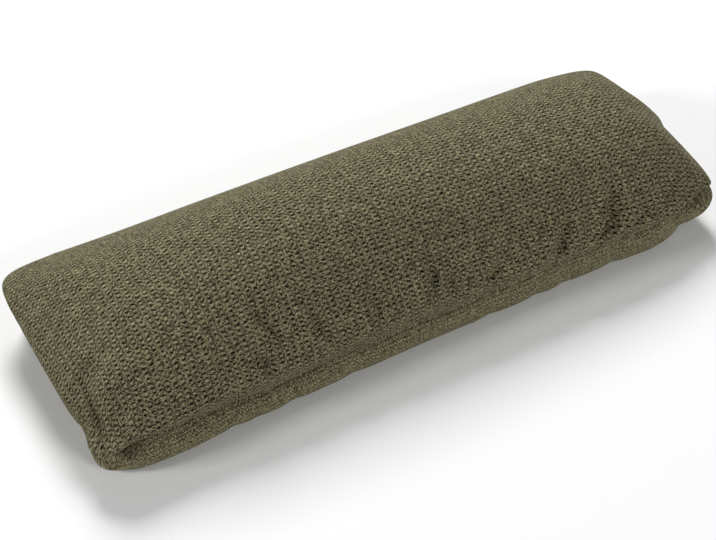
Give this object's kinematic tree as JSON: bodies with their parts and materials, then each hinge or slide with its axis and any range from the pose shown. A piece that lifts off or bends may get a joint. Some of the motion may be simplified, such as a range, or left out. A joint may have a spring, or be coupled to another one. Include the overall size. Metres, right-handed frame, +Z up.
{
  "type": "long throw cushion",
  "caption": "Long, low, well filled throw cushion in chunky dark olive weave, with a plain seam round its rim and tucked corners.",
  "frame": {"origin": "middle of the cushion's box, on the floor that it lies on", "axes": "+X along the cushion's length, +Y from its front long edge to its back long edge, +Z up through its crown"},
  "size_m": [0.9004, 0.3224, 0.168],
  "materials": {
    "cloth": "coarse matte weave"
  },
  "bodies": {
    "root": {"cushion": "cloth"}
  },
  "joints": []
}
